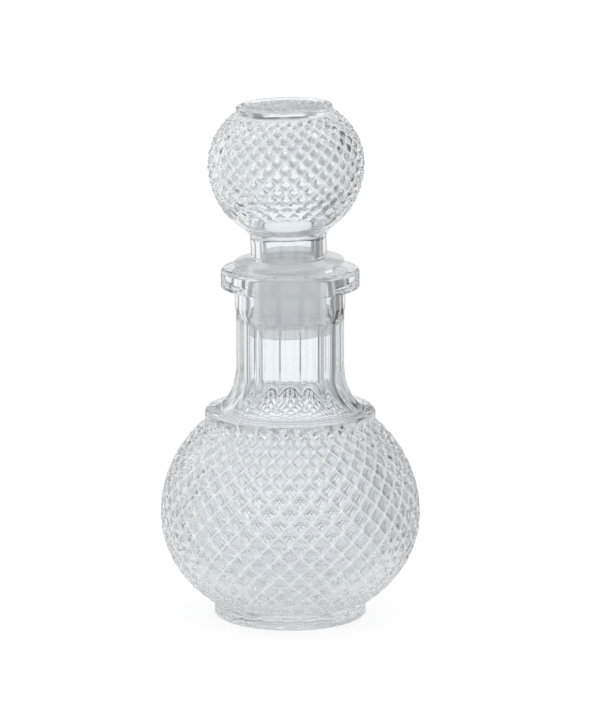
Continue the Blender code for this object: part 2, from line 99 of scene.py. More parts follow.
# Plug and its flange
STOPPER_LEAN = radians(1.7)
SEAT_DEPTH = 10.9 * MM
FLANGE_LIFT = 1.0 * MM
FLANGE_THICKNESS = 2.2 * MM
FLANGE_EDGE = 1.0 * MM
SPIGOT_HEIGHT = 3.4 * MM
SPIGOT_EDGE = 0.9 * MM
SPIGOT_WALL = 1.8 * MM
PLUG_FIN_STEP = 3.0 * MM
PLUG_FIN_GAP = 0.6 * MM
PLUG_FIN_HEIGHT = 1.3 * MM
PLUG_FIN_TIP = 0.25 * MM
PLUG_TUBE_GAP = 3.2 * MM
PLUG_SKIRT_GAP = 1.5 * MM
PLUG_TIP_DRAW = 0.4 * MM
PLUG_WALL = 2.0 * MM

# Ball
BALL_RISE = 23.8 * MM
BALL_SEAT_GAP = 0.3 * MM
BALL_NECK_WALL = 3.7 * MM
BALL_NECK_LENGTH = 6.4 * MM
BALL_NECK_EDGE = 0.5 * MM
BALL_NECK_FILLET = 5.0 * MM
BALL_BELL_DRAW = 6.2 * MM
BALL_FADE_ROWS = 4
BALL_ROOF_DRAW = 16.0 * MM
CROWN_DRAW = 10.4 * MM
CROWN_BAND_HEIGHT = 1.9 * MM
CROWN_EDGE = 1.1 * MM
CROWN_RIM_WIDTH = 2.5 * MM
CROWN_DISH_SLOPE = 0.8 * MM
CROWN_DISH_DEPTH = 0.7 * MM
CROWN_THICKNESS = 3.6 * MM

# How finely the skins are divided.  The shares say where the points lie across one diamond
PILLOW_SHARES = (0.0, 0.045, 0.13, 0.28, 0.5, 0.72, 0.87, 0.955, 1.0)
DOME_SHARES = (0.0, 0.07, 0.18, 0.33, 0.5, 0.67, 0.82, 0.93, 1.0)
SIDES_PER_NECK_FLUTE = 20
SIDES_PER_FOOT_FLUTE = 12
SMOOTH_SIDES = 144
FLOOR_SIDES = 96
DISH_RINGS = 36
WALK_STEPS = 600
CURVE_STEPS = 22
BORE_STEPS = 8
FLUTE_STEPS = 6
EDGE_STEPS = 5
TUBE_STEPS = 5
NECK_STEPS = 4
FIN_STEPS = 3
AXIS_SHARE = 1 / 8                 # of its width, at which a flat end goes over to triangles
ROW_DIGITS = 9                     # rows of points that differ by less are one row
ANGLE_SLACK = 1e-5
END_FADE_SHARE = 0.9               # of a half row, in which the diamonds rise at the end of the relief
CREASE_ANGLE = radians(50.0)
FACET_CREASE_ANGLE = radians(24.0)

# Relief: doming 2 gives round domes, more a flatter pillow with narrower grooves
PILLOW_DOMING = 3.2
DOME_DOMING = 2.0
RIB_ROUNDING = 0.28
WAVE_SPACING = 16 * MM
STIPPLE_SPACING = 1.1 * MM

# Glass and plastic
GLASS_IOR = 1.5
PLASTIC_IOR = 1.5
HAZE_START = 0.45                  # share of the relief's depth from which a groove is matt
HAZE_END = 0.9
RIPPLE_SPACING = 5 * MM            # as wide as the chilled patches that the iron mould leaves
RIPPLE_HEIGHT = 0.01 * MM
RIPPLE_STRENGTH = 0.5
RIPPLE_DETAIL = 2.0
CLOUD_SPACING = 6 * MM
CLOUD_PALING = 1.03
CLOUD_DETAIL = 3.0
GRAIN_SPACING = 0.35 * MM          # drawn coarser than the real grain, so that it can show
GRAIN_HEIGHT = 0.01 * MM
GRAIN_STRENGTH = 0.3
FINE_DETAIL = 1.0

# Floor and room
FLOOR_SPREAD = 6.0
FLOOR_SHADE = 0.7                  # brightness of the floor's own shading, as a share of white
SEEN_CARD_SHARE = 0.25             # of the floor's colour, where the camera or clear glass sees it
NEAR_RADIUS = 30 * MM              # under the carafe the floor shows plain, dimmed to a painted shade where clear glass sees it, and the room's pattern, painted on as light and shade, comes in from here to there
FAR_RADIUS = 120 * MM              # comes in from here to there
# brightness of the painted shade that clear glass sees on the floor under the carafe
UNDER_CARAFE_PAINTED_SHADE = 0.7
PLAIN_LIGHT = 1.0                  # on everything matt
GLASS_BOUNCES = 32                 # light that is caught in the relief may turn this often
ROOM_MIDDLE = 90 * MM

# What clear glass sees of the room, in degrees: on each wall a bright oval field, a little below the
# carafe's own height as the camera looks down, with grey rings round it, and a few grey or bright cards
ROOM_WALLS = 4
FIELD_DROP = radians(12)
FIELD_SHAPE = 0.8                  # width of the field for its height
CARD_SOFTNESS = 0.35
# A ring: its angle from the middle of the field, half its width, brightness at its left and its right.
# The first one is the field itself, a little dimmer at its right
GREY_RINGS = (
    (0, 50, 1.0, 0.82),
    (25, 6, 0.25, 0.0),
    (49, 5, 1.0, 0.1))
# A card: degrees to the right of straight behind, degrees up, half its width and height, brightness
CARDS = (
    (66, -12, 32, 50, 0.1),
    (26, 18, 10, 7, 0.0),
    (-158, 18, 16, 14, 3.0),
    (140, 20, 8, 20, 2.0))


def linear(hex_color):
    """An sRGB colour, written as six hex digits, in linear values."""
    shares = [int(hex_color[k:k + 2], 16) / 255 for k in (0, 2, 4)]
    return [s / 12.92 if s <= 0.04045 else ((s + 0.055) / 1.055) ** 2.4 for s in shares] + [1.0]


def length_property(name, description, millimetres):
    """A length that a user may change."""
    return FloatProperty(name=name, description=description, default=millimetres * MM, min=0,
                         unit="LENGTH")


def share_property(name, description, default):
    """A share from 0 to 1 that a user may change."""
    return FloatProperty(name=name, description=description, default=default, min=0, max=1,
                         subtype="FACTOR")


def count_property(name, description, default, low, high):
    """A whole number that a user may change, between two others."""
    return IntProperty(name=name, description=description, default=default, min=low, max=high)


def color_property(name, description, hex_color):
    """A colour that a user may change."""
    return FloatVectorProperty(name=name, description=description, default=linear(hex_color), min=0,
                               max=1, size=4, subtype="COLOR")


class CarafeBottleSizes(bpy.types.PropertyGroup):
    body_radius: length_property("Body radius", "Over the points of the diamonds", 45.3)
    body_wall: length_property("Body wall", "Thickness of the glass of the globe", 3.4)
    diamonds_around: count_property("Diamonds around", "Diamonds in one row of the globe", 38, 6, 90)
    half_rows: count_property("Half rows", "Half rows of diamonds, foot to shoulder", 21, 3, 61)
    diamond_depth: length_property("Diamond depth", "From a diamond's point down to the grooves", 0.8)
    neck_radius: length_property("Neck radius", "Over the ribs between the flutes", 18.75)
    neck_flutes: count_property("Neck flutes", "Hollow flutes round the neck", 14, 4, 40)
    neck_flute_depth: length_property("Neck flute depth", "Depth of a flute in its middle", 0.85)
    foot_flutes: count_property("Foot flutes", "Hollow flutes round the foot", 24, 4, 60)
    foot_flute_depth: length_property("Foot flute depth", "Depth of a flute in its middle", 0.5)
    unevenness: length_property("Unevenness inside", "Height of the soft waves in the blown inside", 0.12)


class CarafeBallSizes(bpy.types.PropertyGroup):
    ball_radius: length_property("Ball radius", "Over the points of the diamonds", 27.2)
    ball_wall: length_property("Ball wall", "Thickness of the glass of the ball", 3.2)
    neck_radius: length_property("Neck radius", "Outside of the ball's short neck", 13.2)
    diamonds_around: count_property("Diamonds around", "Diamonds in one row of the ball", 30, 6, 90)
    half_rows: count_property("Half rows", "Half rows of diamonds, bell to crown", 16, 3, 61)
    diamond_depth: length_property("Diamond depth", "From a diamond's point down to the grooves", 1.1)
    stipple: length_property("Stipple", "Height of the grains in the crown's dish", 0.22)


class CarafePlugSizes(bpy.types.PropertyGroup):
    plug_depth: length_property("Plug depth", "How far the plug reaches below the mouth", 22.6)
    fin_depth: length_property("Fin depth", "Top of the upper sealing fin, below the mouth", 14.4)
    flange_overhang: length_property("Flange overhang", "The flange reaches this far over the bore", 3.3)


class CarafeFinish(bpy.types.PropertyGroup):
    glass_tint: color_property("Glass tint", "Colour of light that has passed through one wall", "f9fcfe")
    glass_roughness: share_property("Glass roughness", "Of the fire-polished skin", 0.012)
    haze_tint: color_property("Haze tint", "Colour of the fine matt lines in the grooves", "fcfdfe")
    groove_haze: share_property("Groove haze", "Share of the light that the matt lines scatter", 0.55)
    plastic_tint: color_property("Plastic tint", "Colour of the milky plastic", "fefefe")
    plastic_glow: share_property("Plastic glow", "Share of the light that it passes on, scattered", 0.6)
    plastic_clearness: share_property("Plastic clearness", "Share of light that passes straight", 0.66)
    plastic_roughness: share_property("Plastic roughness", "Of the moulded plastic", 0.25)


class CarafeStageLook(bpy.types.PropertyGroup):
    camera_distance: length_property("Camera distance", "From the carafe's axis along the floor", 1790.0)
    camera_height: length_property("Camera height", "Above the floor", 476.3)
    camera_shift: length_property("Camera side step", "From the axis to the camera's right", 4.26)
    camera_pitch: FloatProperty(
        name="Camera pitch", description="How far the camera looks down", default=radians(12.09),
        min=0, max=pi / 2, subtype="ANGLE")
    image_focus: FloatProperty(
        name="Focal length in pixels", description="Of a picture 705 pixels high", default=5281.0,
        min=100, max=50000)
    floor_tint: color_property("Floor tint", "Colour of the floor", "f6f6f6")


def add_node(tree, kind, inputs=None, **settings):
    """Adds a node.  An input is a value, a socket, or a node whose first output it takes."""
    node = tree.nodes.new(kind)
    for name, value in settings.items():
        setattr(node, name, value)
    for name, value in (inputs or {}).items():
        if isinstance(value, bpy.types.Node):
            value = value.outputs[0]
        if isinstance(value, bpy.types.NodeSocket):
            tree.links.new(value, node.inputs[name])
        else:
            node.inputs[name].default_value = value
    return node


def new_geometry_tree(name, numbers, attributes):
    """A geometry tree with named number inputs and a material input.  Gives back the tree, its input
    node, the sockets' identifiers and a node for each attribute that the tree reads."""
    tree = bpy.data.node_groups.new(name, "GeometryNodeTree")
    tree.interface.new_socket("Geometry", in_out="OUTPUT", socket_type="NodeSocketGeometry")
    kinds = {"Geometry": "Geometry", **dict.fromkeys(numbers, "Float"), "Material": "Material"}
    identifiers = {}
    for label, kind in kinds.items():
        socket = tree.interface.new_socket(label, in_out="INPUT", socket_type="NodeSocket" + kind)
        identifiers[label] = socket.identifier
    read = {label: add_node(tree, "GeometryNodeInputNamedAttribute", {"Name": label}, data_type="FLOAT")
            for label in attributes}
    return tree, tree.nodes.new("NodeGroupInput"), identifiers, read


def end_geometry_tree(tree, given, shape, size, skin=None):
    """Ends a tree that moves each point into the glass along its own normal, by a shape times a size
    among the tree's inputs."""
    depth = add_node(tree, "ShaderNodeMath", {0: shape, 1: given.outputs[size]}, operation="MULTIPLY")
    inward = add_node(tree, "ShaderNodeMath", {0: depth, 1: -1.0}, operation="MULTIPLY")
    outward = add_node(tree, "GeometryNodeInputNamedAttribute", {"Name": "outward"},
                       data_type="FLOAT_VECTOR")
    offset = add_node(tree, "ShaderNodeVectorMath", {0: outward, "Scale": inward}, operation="SCALE")
    moved = add_node(tree, "GeometryNodeSetPosition",
                     {"Geometry": skin or given.outputs["Geometry"], "Offset": offset})
    real = add_node(tree, "GeometryNodeRealizeInstances", {"Geometry": moved})
    finished = add_node(tree, "GeometryNodeSetMaterial",
                        {"Geometry": real, "Material": given.outputs["Material"]})
    add_node(tree, "NodeGroupOutput", {"Geometry": finished})


def diamond_tree():
    """Relief of diamonds.  across and along count the grooves of the two directions, so a diamond lies
    between whole numbers.  Its height falls from 1 in its middle to 0 on its four grooves; Doming is the
    power of that fall, 2 for a round dome and more for a flatter top with narrower grooves.  groove keeps
    for the glass how deep a point is cut, from 0 to 1."""
    tree, given, identifiers, read = new_geometry_tree("pressed_diamonds", ("Depth", "Doming"),
                                                       ("across", "along", "relief", "standing"))
    heights = []
    for name in ("across", "along"):
        part = add_node(tree, "ShaderNodeMath", {0: read[name]}, operation="FRACT")
        centred = add_node(tree, "ShaderNodeMath", {0: part, 1: 2.0, 2: -1.0}, operation="MULTIPLY_ADD")
        away = add_node(tree, "ShaderNodeMath", {0: centred}, operation="ABSOLUTE")
        power = add_node(tree, "ShaderNodeMath", {0: away, 1: given.outputs["Doming"]}, operation="POWER")
        heights.append(add_node(tree, "ShaderNodeMath", {0: 1.0, 1: power}, operation="SUBTRACT"))
    dome = add_node(tree, "ShaderNodeMath", {0: heights[0], 1: heights[1]}, operation="MULTIPLY")
    kept = add_node(tree, "ShaderNodeMath", {0: dome, 1: read["standing"]}, operation="MULTIPLY")
    cut = add_node(tree, "ShaderNodeMath", {0: read["relief"], 1: kept}, operation="SUBTRACT")
    marked = add_node(tree, "GeometryNodeStoreNamedAttribute",
                      {"Geometry": given.outputs["Geometry"], "Name": "groove", "Value": cut},
                      data_type="FLOAT", domain="POINT")
    end_geometry_tree(tree, given, cut, "Depth", marked)
    return tree, identifiers


def flute_tree():
    """Hollow flutes.  place runs from -1 to 1 across a flute; lift narrows it, so that it ends in an
    arch; fluted is the share of the full depth, 0 where the skin is plain."""
    tree, given, identifiers, read = new_geometry_tree("hollow_flutes", ("Depth", "Rounding"),
                                                       ("place", "lift", "fluted"))
    square = add_node(tree, "ShaderNodeMath", {0: read["place"], 1: read["place"]}, operation="MULTIPLY")
    bowl = add_node(tree, "ShaderNodeMath", {0: 1.0, 1: square}, operation="SUBTRACT")
    left = add_node(tree, "ShaderNodeMath", {0: bowl, 1: read["lift"]}, operation="SUBTRACT")
    rounded = add_node(tree, "ShaderNodeMath", {0: left, 1: 0.0, 2: given.outputs["Rounding"]},
                       operation="SMOOTH_MAX")
    here = add_node(tree, "ShaderNodeMath", {0: rounded, 1: read["fluted"]}, operation="MULTIPLY")
    end_geometry_tree(tree, given, here, "Depth")
    return tree, identifiers


def uneven_tree(name, where):
    """Soft waves or grains in the glass, where the skin's attribute of that name is above 0."""
    tree, given, identifiers, read = new_geometry_tree(name, ("Height", "Spacing"), (where,))
    position = add_node(tree, "GeometryNodeInputPosition")
    scale = add_node(tree, "ShaderNodeMath", {0: 1.0, 1: given.outputs["Spacing"]}, operation="DIVIDE")
    noise = add_node(tree, "ShaderNodeTexNoise",
                     {"Vector": position, "Scale": scale, "Detail": FINE_DETAIL})
    centred = add_node(tree, "ShaderNodeMath", {0: noise, 1: 2.0, 2: -1.0}, operation="MULTIPLY_ADD")
    here = add_node(tree, "ShaderNodeMath", {0: centred, 1: read[where]}, operation="MULTIPLY")
    end_geometry_tree(tree, given, here, "Height")
    return tree, identifiers


def run_tree(piece, made, material, **values):
    """Puts a tree on a piece as a modifier and sets its inputs by their identifiers."""
    tree, identifiers = made
    values["Material"] = material
    modifier = piece.modifiers.new(tree.name, "NODES")
    modifier.node_group = tree
    for label, value in values.items():
        modifier[identifiers[label]] = value


def settle(piece):
    """Turns what the modifiers give into the piece's own plain mesh."""
    depsgraph = bpy.context.evaluated_depsgraph_get()
    plain = bpy.data.meshes.new_from_object(piece.evaluated_get(depsgraph))
    first = piece.data
    piece.modifiers.clear()
    piece.data = plain
    bpy.data.meshes.remove(first)
    plain.name = piece.name


def arc(middle_radius, middle_height, width, rise, start, end, steps):
    """Points (radius, height) along a piece of an ellipse, from one angle to another."""
    points = []
    for step in range(steps + 1):
        angle = start + (end - start) * step / steps
        points.append((middle_radius + width * cos(angle), middle_height + rise * sin(angle)))
    return points


def line(start, end, steps):
    """Points along a straight line, the first left out."""
    return [(start[0] + (end[0] - start[0]) * k / steps, start[1] + (end[1] - start[1]) * k / steps)
            for k in range(1, steps + 1)]


def with_normals(points):
    """Adds to each point of an outline the normal on its outer side, for an outline that runs upwards."""
    result = []
    for k, (radius, height) in enumerate(points):
        before = points[max(k - 1, 0)]
        after = points[min(k + 1, len(points) - 1)]
        length = hypot(after[0] - before[0], after[1] - before[1])
        result.append((radius, height, (after[1] - before[1]) / length, (before[0] - after[0]) / length))
    return result


def new_skin():
    """An empty skin whose points can carry what the geometry trees read."""
    skin = bmesh.new()
    for name in ("across", "along", "relief", "standing", "place", "lift", "fluted", "waves", "grains"):
        skin.verts.layers.float.new(name)
    skin.verts.layers.float_vector.new("outward")
    return skin


def add_point(skin, angle, point, values):
    """A vertex at an angle from the front.  point has its radius, its height and its outward normal."""
    radius, height, out_radius, out_height = point
    vertex = skin.verts.new((radius * sin(angle), -radius * cos(angle), height))
    layers = skin.verts.layers
    outward = (out_radius * sin(angle), -out_radius * cos(angle), out_height)
    vertex[layers.float_vector["outward"]] = outward
    for name, value in values.items():
        vertex[layers.float[name]] = value
    return vertex


def turned_rings(skin, outline, sides):
    """Smooth rings of a turned outline, one for each of its points."""
    return [[add_point(skin, 2 * pi * side / sides, point, {}) for side in range(sides)]
            for point in with_normals(outline)]


def zip_rings(skin, lower, upper):
    """Faces from one ring to the next.  Rings with unlike numbers of points get a strip of triangles."""
    n = len(lower)
    m = len(upper)
    a = 0
    b = 0
    while a < n or b < m:
        if (a + 1) * m == (b + 1) * n:
            corners = (lower[a], lower[(a + 1) % n], upper[(b + 1) % m], upper[b % m])
            a += 1
            b += 1
        elif (a + 1) * m < (b + 1) * n:
            corners = (lower[a], lower[(a + 1) % n], upper[b % m])
            a += 1
        else:
            corners = (lower[a % n], upper[(b + 1) % m], upper[b % m])
            b += 1
        skin.faces.new(corners)


def join_chain(skin, rings):
    """Zips each ring of a list to the next one."""
    for lower, upper in zip(rings, rings[1:]):
        zip_rings(skin, lower, upper)


def close_ring(skin, ring, point):
    """Closes a ring with triangles to a point on the axis."""
    middle = add_point(skin, 0, point, {})
    for k, corner in enumerate(ring):
        skin.faces.new((corner, ring[(k + 1) % len(ring)], middle))


def row_places(outline, rows, steps):
    """Points of an outline at a list of row numbers.  Rows are lower where their circle is smaller."""
    dense = with_normals(outline)
    reached = [0.0]
    for here, after in zip(dense, dense[1:]):
        length = hypot(after[0] - here[0], after[1] - here[1])
        reached.append(reached[-1] + length / ((here[0] + after[0]) / 2) ** CELL_GROWTH_SHARE)
    found = []
    k = 0
    for row in rows:
        target = row / steps * reached[-1]
        while k < len(dense) - 2 and reached[k + 1] < target:
            k += 1
        share = min(1.0, max(0.0, (target - reached[k]) / (reached[k + 1] - reached[k])))
        found.append([a + share * (b - a) for a, b in zip(dense[k], dense[k + 1])])
    return found


def ease(share):
    """0 below 0, 1 above 1, and smooth between."""
    share = min(1.0, max(0.0, share))
    return share * share * (3 - 2 * share)


def diamond_skin(skin, outline, around, half_rows, shares, turned, open_top, fade_rows):
    """The skin that carries the diamonds.  Its points run along the two directions of grooves, so that
    every groove lies on edges.  shares places the points across one diamond.  turned shifts the pattern
    by half a diamond; open_top leaves the diamonds standing in the last row; over the first fade_rows
    rows the relief rises out of a plain surface."""
    cuts = len(shares) - 1
    last = half_rows * cuts
    wide = around * cuts

    def groove(index):
        return index // cuts + shares[index % cuts]

    levels = []
    for level in range(last + 1):
        sideways = [2 * step + level % 2 for step in range(wide)]
        levels.append([(groove((level + s) // 2), groove((level - s) // 2)) for s in sideways])
    rows = sorted({round(across + along, ROW_DIGITS) for ring in levels for across, along in ring})
    places = dict(zip(rows, row_places(outline, rows, half_rows)))
    points = []
    for ring in levels:
        made = []
        for across, along in ring:
            row = round(across + along, ROW_DIGITS)
            relief = min(1.0, row / fade_rows) if fade_rows else 1.0
            standing = relief if fade_rows else ease(row / END_FADE_SHARE)
            if not open_top:
                standing *= ease((half_rows - row) / END_FADE_SHARE)
            angle = 2 * pi / around * (across - along + turned) / 2
            made.append(add_point(skin, angle, places[row], {
                "across": across, "along": along, "relief": relief, "standing": standing}))
        points.append(made)

    def at(level, sideways):
        return points[level][(sideways - level % 2) // 2 % wide]

    for level in range(last - 1):
        for step in range(wide):
            s = 2 * step + level % 2
            low, high = at(level, s), at(level + 2, s)
            left, right = at(level + 1, s - 1), at(level + 1, s + 1)
            if ((level + s) // 2 - (level - s) // 2) % cuts == 0:
                corners = ((low, right, high), (low, high, left))
            else:
                corners = ((low, right, left), (right, high, left))
            for three in corners:
                skin.faces.new(three)
    for step in range(wide):
        s = 2 * step
        skin.faces.new((at(0, s), at(0, s + 2), at(1, s + 1)))
        s = 2 * step + last % 2
        skin.faces.new((at(last, s + 2), at(last, s), at(last - 1, s + 1)))
    return points[0], points[-1]


def in_order(ring):
    """A ring's points in order of their angle from the front."""
    def angle(vertex):
        return (atan2(vertex.co.x, -vertex.co.y) + ANGLE_SLACK) % (2 * pi)
    return sorted(ring, key=angle)


def fluted_rings(skin, outline, flutes, sides_per_flute, lifts, shares):
    """Rings that carry hollow flutes.  lifts says for each ring how far the flutes are narrowed, shares
    how deep they are."""
    rings = []
    for point, lift, share in zip(outline, lifts, shares):
        ring = []
        for side in range(flutes * sides_per_flute):
            place = 2 * ((side + sides_per_flute // 2) % sides_per_flute) / sides_per_flute - 1
            angle = 2 * pi * side / (flutes * sides_per_flute)
            ring.append(add_point(skin, angle, point, {"place": place, "lift": lift, "fluted": share}))
        rings.append(ring)
    return rings


def mark(skin, rings, name, number_at):
    """Gives the points of rings a number, worked out from their height."""
    layer = skin.verts.layers.float[name]
    for ring in rings:
        for vertex in ring:
            vertex[layer] = number_at(vertex.co.z)


def finish_piece(name, skin):
    """Turns a closed skin into an object at the origin, smooth, with its normals outward."""
    open_edges = sum(not edge.is_manifold for edge in skin.edges)
    if open_edges:
        raise RuntimeError(f"{name} has {open_edges} open edges")
    bmesh.ops.recalc_face_normals(skin, faces=skin.faces)
    for face in skin.faces:
        face.smooth = True
    data = bpy.data.meshes.new(name)
    skin.to_mesh(data)
    skin.free()
    piece = bpy.data.objects.new(name, data)
    bpy.context.scene.collection.objects.link(piece)
    return piece


def bottle_heights(bottle):
    """The heights that follow from the bottle's sizes: middle of the globe, its top, and the rest."""
    middle = FOOT_HEIGHT + BODY_DROP * sin(acos(FOOT_WAIST_RADIUS / bottle.body_radius))
    globe_top = middle + BODY_RISE * sin(acos(SHOULDER_RADIUS / bottle.body_radius))
    shoulder_top = globe_top + TOP_ROW_RISE + CUT_ROW_RISE + SHOULDER_RISE
    return {"middle": middle, "globe_top": globe_top, "shoulder_top": shoulder_top,
            "mouth": shoulder_top + NECK_LENGTH}


def lean_stopper(piece, mouth):
    """Leans a piece of the stopper about the point that it sits askew on."""
    seat = Vector((0, 0, mouth - SEAT_DEPTH))
    turn = Matrix.Translation(seat) @ Matrix.Rotation(-STOPPER_LEAN, 4, "Y") @ Matrix.Translation(-seat)
    piece.data.transform(turn)


def new_material(name):
    """A material and its tree, still empty."""
    material = bpy.data.materials.new(name)
    material.use_nodes = True
    material.node_tree.nodes.clear()
    return material, material.node_tree


def glass_material(name, finish):
    """Soda-lime glass, pressed in an iron mould and fire-polished: clear, colourless but for a breath of
    blue-grey, smooth, with the faint ripple that the mould's chill leaves in the skin.  The polishing
    flame doesn't reach the bottoms of the grooves.  They stay finely matt, and draw a white net over the
    clear glass."""
    material, tree = new_material(name)
    place = add_node(tree, "ShaderNodeTexCoord")
    ripple = add_node(tree, "ShaderNodeTexNoise", {"Vector": place.outputs["Object"],
                                                   "Scale": 1 / RIPPLE_SPACING, "Detail": RIPPLE_DETAIL})
    bump = add_node(tree, "ShaderNodeBump",
                    {"Height": ripple, "Strength": RIPPLE_STRENGTH, "Distance": RIPPLE_HEIGHT})
    clear = add_node(tree, "ShaderNodeBsdfPrincipled",
                     {"Base Color": finish.glass_tint, "IOR": GLASS_IOR, "Transmission Weight": 1.0,
                      "Roughness": finish.glass_roughness, "Normal": bump})
    groove = add_node(tree, "ShaderNodeAttribute", attribute_name="groove")
    matt = add_node(tree, "ShaderNodeMapRange",
                    {"Value": groove.outputs["Fac"], "From Min": HAZE_START, "From Max": HAZE_END,
                     "To Max": finish.groove_haze}, interpolation_type="SMOOTHSTEP")
    outside = add_node(tree, "ShaderNodeBsdfDiffuse", {"Color": finish.haze_tint})
    inside = add_node(tree, "ShaderNodeBsdfTranslucent", {"Color": finish.haze_tint})
    shape = add_node(tree, "ShaderNodeNewGeometry")
    haze = add_node(tree, "ShaderNodeMixShader", {0: shape.outputs["Backfacing"], 1: outside, 2: inside})
    skin = add_node(tree, "ShaderNodeMixShader", {0: matt, 1: clear, 2: haze})
    add_node(tree, "ShaderNodeOutputMaterial", {"Surface": skin})
    return material


def plastic_material(name, finish):
    """Low-density polyethylene, injection moulded: milky and translucent, waxy, with a fine satin grain
    from the mould and a little clouding where the wall is thicker."""
    material, tree = new_material(name)
    place = add_node(tree, "ShaderNodeTexCoord")
    cloud = add_node(tree, "ShaderNodeTexNoise", {"Vector": place.outputs["Object"],
                                                  "Scale": 1 / CLOUD_SPACING, "Detail": CLOUD_DETAIL})
    paler = [min(1.0, share * CLOUD_PALING) for share in finish.plastic_tint]
    tint = add_node(tree, "ShaderNodeMix", {0: cloud, 6: finish.plastic_tint, 7: paler},
                    data_type="RGBA").outputs[2]
    grain = add_node(tree, "ShaderNodeTexNoise", {"Vector": place.outputs["Object"],
                                                  "Scale": 1 / GRAIN_SPACING, "Detail": FINE_DETAIL})
    bump = add_node(tree, "ShaderNodeBump",
                    {"Height": grain, "Strength": GRAIN_STRENGTH, "Distance": GRAIN_HEIGHT})
    satin = add_node(tree, "ShaderNodeBsdfPrincipled",
                     {"Base Color": tint, "Roughness": finish.plastic_roughness,
                      "IOR": PLASTIC_IOR, "Normal": bump})
    glow = add_node(tree, "ShaderNodeBsdfTranslucent", {"Color": tint})
    milk = add_node(tree, "ShaderNodeMixShader", {0: finish.plastic_glow, 1: satin, 2: glow})
    straight = add_node(tree, "ShaderNodeBsdfTransparent", {"Color": finish.plastic_tint})
    skin = add_node(tree, "ShaderNodeMixShader", {0: finish.plastic_clearness, 1: milk, 2: straight})
    add_node(tree, "ShaderNodeOutputMaterial", {"Surface": skin})
    return material


